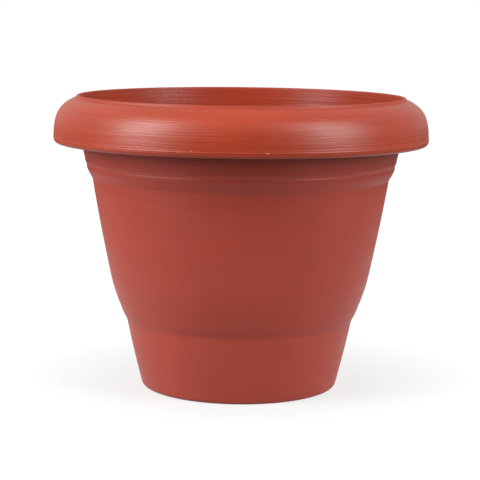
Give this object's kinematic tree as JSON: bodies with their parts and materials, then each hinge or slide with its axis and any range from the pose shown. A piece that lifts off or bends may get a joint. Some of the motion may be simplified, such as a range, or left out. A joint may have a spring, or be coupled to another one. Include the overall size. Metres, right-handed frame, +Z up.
{
  "type": "plastic flower pot",
  "caption": "Round tapered plastic flower pot with a hollow rolled rim, a stepped neck and waist, a lift-out drain grid and push-in drain plugs in its raised floor.",
  "frame": {"origin": "centre of the foot ring, on the surface that the pot stands on", "axes": "+Z up along the pot's axis; +X and +Y point at the ribs between the drain holes"},
  "size_m": [0.305, 0.305, 0.238],
  "materials": {
    "pot_plastic": "satin terracotta polypropylene",
    "grid_plastic": "matte terracotta polypropylene",
    "plug_rubber": "matte black rubber"
  },
  "bodies": {
    "pot": {"pot_shell": "pot_plastic"},
    "grid": {"drain_grid": "grid_plastic"},
    "plug_1": {"drain_plug_1": "plug_rubber"},
    "plug_2": {"drain_plug_2": "plug_rubber"},
    "plug_3": {"drain_plug_3": "plug_rubber"},
    "plug_4": {"drain_plug_4": "plug_rubber"}
  },
  "joints": [
    {"name": "grid_lift", "type": "slide", "parent": "pot", "child": "grid", "axis": [0, 0, 1], "range_m": [0, 0.25]},
    {"name": "plug_1_pull", "type": "slide", "parent": "pot", "child": "plug_1", "axis": [0, 0, -1], "range_m": [0, 0.03]},
    {"name": "plug_2_pull", "type": "slide", "parent": "pot", "child": "plug_2", "axis": [0, 0, -1], "range_m": [0, 0.03]},
    {"name": "plug_3_pull", "type": "slide", "parent": "pot", "child": "plug_3", "axis": [0, 0, -1], "range_m": [0, 0.03]},
    {"name": "plug_4_pull", "type": "slide", "parent": "pot", "child": "plug_4", "axis": [0, 0, -1], "range_m": [0, 0.03]}
  ]
}
